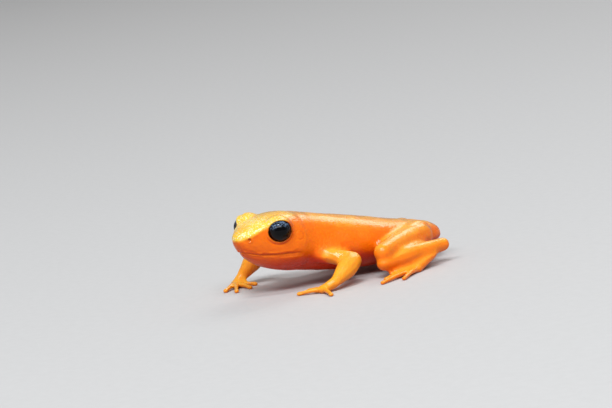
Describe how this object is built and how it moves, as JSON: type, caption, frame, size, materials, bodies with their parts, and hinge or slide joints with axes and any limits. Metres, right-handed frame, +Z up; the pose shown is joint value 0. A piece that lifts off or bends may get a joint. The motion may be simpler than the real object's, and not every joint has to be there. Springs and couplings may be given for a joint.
{
  "type": "golden mantella frog",
  "caption": "Small bright orange frog at rest, life size, with its head turned a little to the left, glossy black eyes and spread fingers and toes.",
  "frame": {"origin": "middle of the frog's bounding box, on the floor that its hands and feet rest on", "axes": "+Z up; the frog faces -Y and its left side is +X; the head is turned about 14 degrees to the left"},
  "size_m": [0.022, 0.0268, 0.0093],
  "materials": {
    "skin": "moist and softly glossy, fine grained",
    "eye": "wet gloss"
  },
  "bodies": {
    "root": {"head": "skin", "torso": "skin", "upper_arm_left": "skin", "forearm_left": "skin", "hand_left": "skin", "thigh_left": "skin", "shank_left": "skin", "foot_left": "skin", "eye_left": "eye", "upper_arm_right": "skin", "forearm_right": "skin", "hand_right": "skin", "thigh_right": "skin", "shank_right": "skin", "foot_right": "skin", "eye_right": "eye"}
  },
  "joints": []
}
